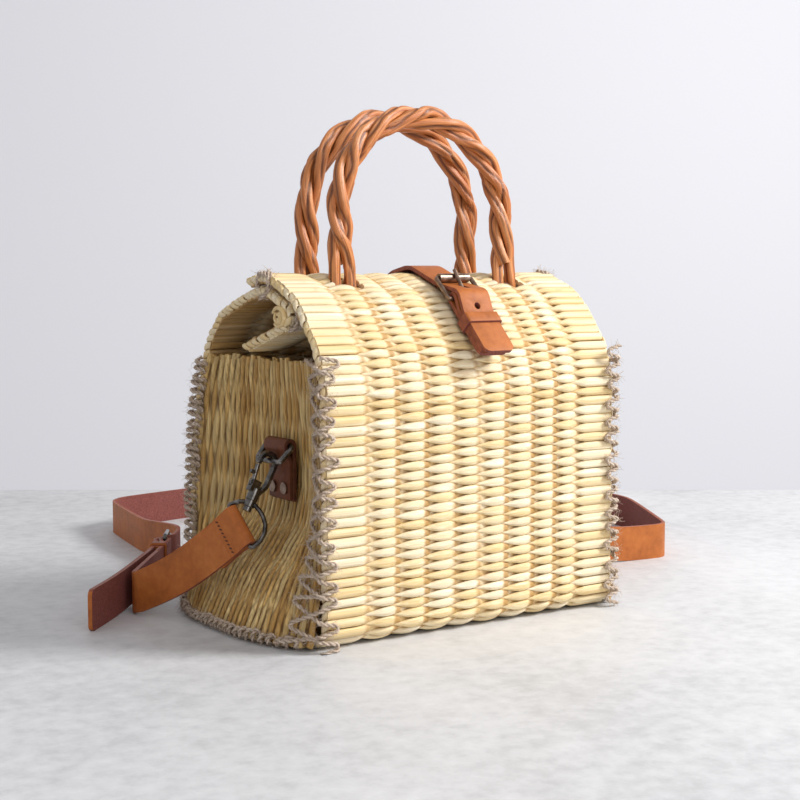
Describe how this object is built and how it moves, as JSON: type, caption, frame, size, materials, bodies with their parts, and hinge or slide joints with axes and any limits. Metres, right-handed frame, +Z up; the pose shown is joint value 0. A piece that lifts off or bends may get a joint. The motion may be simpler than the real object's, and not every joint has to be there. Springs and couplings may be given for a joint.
{
  "type": "basket bag",
  "caption": "Woven reed basket bag with a fold-over roof, rope-laid willow handles, a buckled leather closing strap and a hooked crossbody strap.",
  "frame": {"origin": "centre of the base, on the surface that the bag stands on", "axes": "+X to the bag's right seen from its front, along the reeds; +Y from the front wall to the back wall; +Z up"},
  "size_m": [0.4783, 0.4409, 0.2866],
  "materials": {
    "straw_mat": "matte, woven",
    "side_reed": "matte, woven",
    "willow": "satin",
    "tan_leather": "satin",
    "bronze": "aged, satin",
    "dark_steel": "gunmetal, polished"
  },
  "bodies": {
    "bag": {"body_mat": "straw_mat", "closure_tongue_strap": "tan_leather", "closure_buckle_strap": "tan_leather", "closure_frame": "bronze", "closure_keeper": "tan_leather", "closure_buckle_rivets": "bronze", "closure_tongue_rivets": "bronze", "strap_short": "tan_leather", "strap_long": "tan_leather", "adjuster_frame": "dark_steel", "adjuster_keeper": "tan_leather", "left_side_panel": "side_reed", "right_side_panel": "side_reed", "left_side_tab": "tan_leather", "right_side_tab": "tan_leather", "left_tab_rivets": "bronze", "right_tab_rivets": "bronze", "left_swivel_ring": "dark_steel", "right_swivel_ring": "dark_steel"},
    "front_handle": {"front_handle_strand_1": "willow", "front_handle_strand_2": "willow", "front_handle_strand_3": "willow"},
    "back_handle": {"back_handle_strand_1": "willow", "back_handle_strand_2": "willow", "back_handle_strand_3": "willow"},
    "closure_roller": {"closure_roller": "bronze"},
    "closure_prong": {"closure_prong": "bronze"},
    "adjuster_roller": {"adjuster_roller": "dark_steel"},
    "adjuster_prong": {"adjuster_prong": "dark_steel"},
    "left_ring": {"left_tab_ring": "dark_steel"},
    "left_hook": {"left_hook_body": "dark_steel", "left_hook_gate_pin": "dark_steel", "left_hook_post": "dark_steel"},
    "left_gate": {"left_hook_gate": "dark_steel"},
    "right_ring": {"right_tab_ring": "dark_steel"},
    "right_hook": {"right_hook_body": "dark_steel", "right_hook_gate_pin": "dark_steel", "right_hook_post": "dark_steel"},
    "right_gate": {"right_hook_gate": "dark_steel"}
  },
  "joints": [
    {"name": "front_handle_lean", "type": "hinge", "parent": "bag", "child": "front_handle", "pos_m": [0, -0.026, 0.18693], "axis": [1, 0, 0], "range_deg": [-3, 35]},
    {"name": "back_handle_lean", "type": "hinge", "parent": "bag", "child": "back_handle", "pos_m": [0, 0.0115, 0.17865], "axis": [1, 0, 0], "range_deg": [-30, 3]},
    {"name": "closure_roller_turn", "type": "hinge", "parent": "bag", "child": "closure_roller", "pos_m": [0.007, -0.04186, 0.1903], "axis": [1, 0, 0], "continuous": true},
    {"name": "closure_prong_lift", "type": "hinge", "parent": "bag", "child": "closure_prong", "pos_m": [0.007, -0.05452, 0.17924], "axis": [1, 0, 0], "range_deg": [0, 12]},
    {"name": "adjuster_roller_turn", "type": "hinge", "parent": "bag", "child": "adjuster_roller", "pos_m": [-0.07473, 0.15328, 0.015], "axis": [0, 0, 1], "continuous": true},
    {"name": "adjuster_prong_lift", "type": "hinge", "parent": "bag", "child": "adjuster_prong", "pos_m": [-0.084, 0.138, 0.015], "axis": [0, 0, 1], "range_deg": [0, 12]},
    {"name": "left_ring_swing", "type": "hinge", "parent": "bag", "child": "left_ring", "pos_m": [-0.08885, -0.015, 0.101], "axis": [0, 1, 0], "range_deg": [-3, 3]},
    {"name": "left_hook_swivel", "type": "hinge", "parent": "bag", "child": "left_hook", "pos_m": [-0.10754, -0.01622, 0.07239], "axis": [0.4841, 0.0523, 0.8734], "range_deg": [-10, 10]},
    {"name": "left_gate_open", "type": "hinge", "parent": "left_hook", "child": "left_gate", "pos_m": [-0.10606, -0.01574, 0.08207], "axis": [-0.0253, 0.9986, -0.0457], "range_deg": [0, 22], "stiffness_Nm_per_rad": 0.02, "springref_deg": -17.19},
    {"name": "right_ring_swing", "type": "hinge", "parent": "bag", "child": "right_ring", "pos_m": [0.08885, -0.015, 0.101], "axis": [0, -1, 0], "range_deg": [-3, 3]},
    {"name": "right_hook_swivel", "type": "hinge", "parent": "bag", "child": "right_hook", "pos_m": [0.10754, -0.01622, 0.07239], "axis": [0.4841, -0.0523, -0.8734], "range_deg": [-10, 10]},
    {"name": "right_gate_open", "type": "hinge", "parent": "right_hook", "child": "right_gate", "pos_m": [0.10606, -0.01574, 0.08207], "axis": [-0.0253, -0.9986, 0.0457], "range_deg": [0, 22], "stiffness_Nm_per_rad": 0.02, "springref_deg": -17.19}
  ]
}
